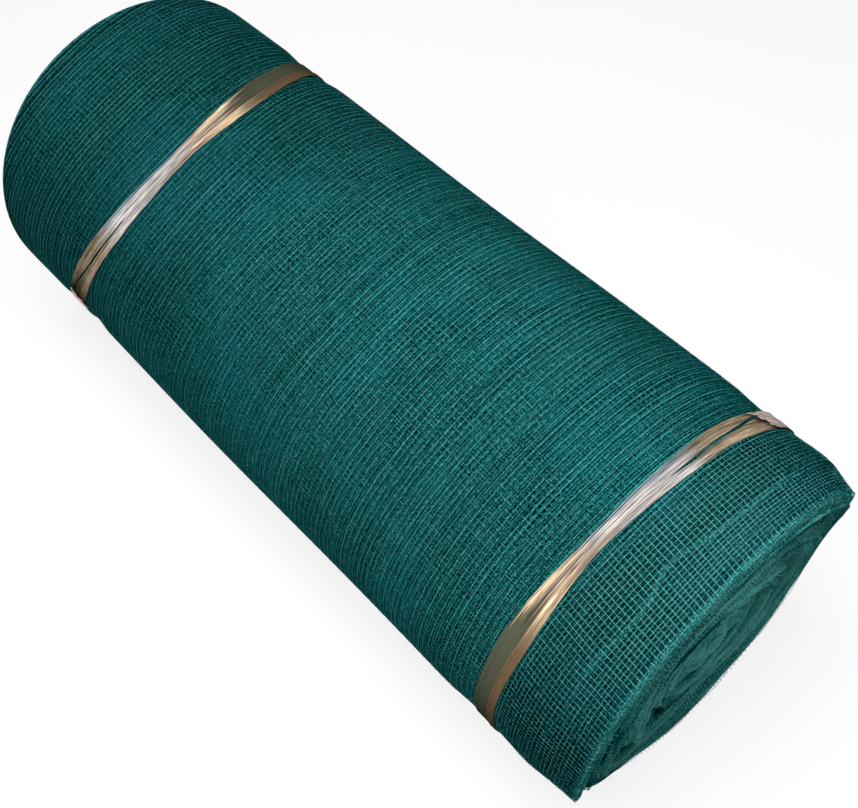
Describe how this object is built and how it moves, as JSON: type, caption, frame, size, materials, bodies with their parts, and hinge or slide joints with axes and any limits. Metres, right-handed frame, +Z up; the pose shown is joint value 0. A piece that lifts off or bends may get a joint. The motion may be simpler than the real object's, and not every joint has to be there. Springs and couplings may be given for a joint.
{
  "type": "roll of olive harvesting net",
  "caption": "Roll of fine square-mesh olive harvesting net, wound without a core, lying on its side and held by gathered tape ties.",
  "frame": {"origin": "on the floor under the middle of the roll", "axes": "+X along the roll from the far end to the near end, +Z up, +Y across the roll"},
  "size_m": [1.0356, 0.4334, 0.428],
  "materials": {
    "net": "woven plastic yarn, dark teal, slight sheen",
    "tape": "tan packing tape, gathered, glossy"
  },
  "bodies": {
    "root": {"net_roll": "net", "tie_band_far": "tape", "tie_band_near": "tape"}
  },
  "joints": []
}
